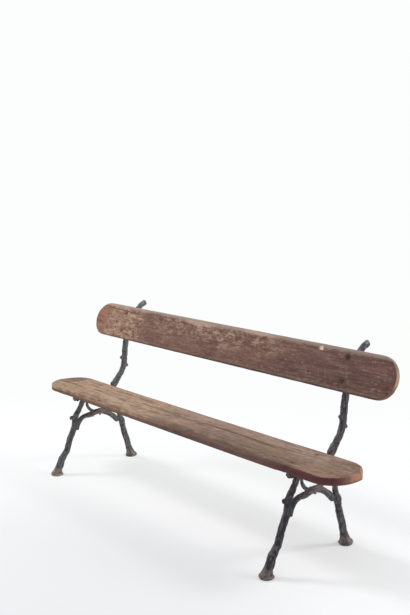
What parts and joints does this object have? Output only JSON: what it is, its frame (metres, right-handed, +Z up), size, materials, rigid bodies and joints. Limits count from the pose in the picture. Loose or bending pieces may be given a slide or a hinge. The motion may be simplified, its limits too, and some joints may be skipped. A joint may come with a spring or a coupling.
{
  "type": "park bench",
  "caption": "Rustic garden bench: branch-form cast-iron ends carry a round-ended plank seat and a leaning plank back, held by carriage bolts.",
  "frame": {"origin": "on the floor, under the middle of the bench's bounding box", "axes": "+X along the bench to a viewer's right, +Y from the seat's front to the back, +Z up"},
  "size_m": [2, 0.6078, 0.8454],
  "materials": {
    "cast_iron": "near-black, bark-like, with rust on the feet",
    "seat_wood": "bare, weathered and cracked along the grain",
    "back_wood": "worn red-brown stain over pale wood",
    "bolt_steel": "dark and rusted"
  },
  "bodies": {
    "root": {"left_end_casting": "cast_iron", "right_end_casting": "cast_iron", "seat_plank": "seat_wood", "back_plank": "back_wood", "left_seat_front_bolt": "bolt_steel", "left_seat_front_washer": "bolt_steel", "left_seat_front_nut": "bolt_steel", "left_seat_rear_bolt": "bolt_steel", "left_seat_rear_washer": "bolt_steel", "left_seat_rear_nut": "bolt_steel", "left_back_lower_bolt": "bolt_steel", "left_back_lower_washer": "bolt_steel", "left_back_lower_nut": "bolt_steel", "left_back_upper_bolt": "bolt_steel", "left_back_upper_washer": "bolt_steel", "left_back_upper_nut": "bolt_steel", "right_seat_front_bolt": "bolt_steel", "right_seat_front_washer": "bolt_steel", "right_seat_front_nut": "bolt_steel", "right_seat_rear_bolt": "bolt_steel", "right_seat_rear_washer": "bolt_steel", "right_seat_rear_nut": "bolt_steel", "right_back_lower_bolt": "bolt_steel", "right_back_lower_washer": "bolt_steel", "right_back_lower_nut": "bolt_steel", "right_back_upper_bolt": "bolt_steel", "right_back_upper_washer": "bolt_steel", "right_back_upper_nut": "bolt_steel"}
  },
  "joints": []
}
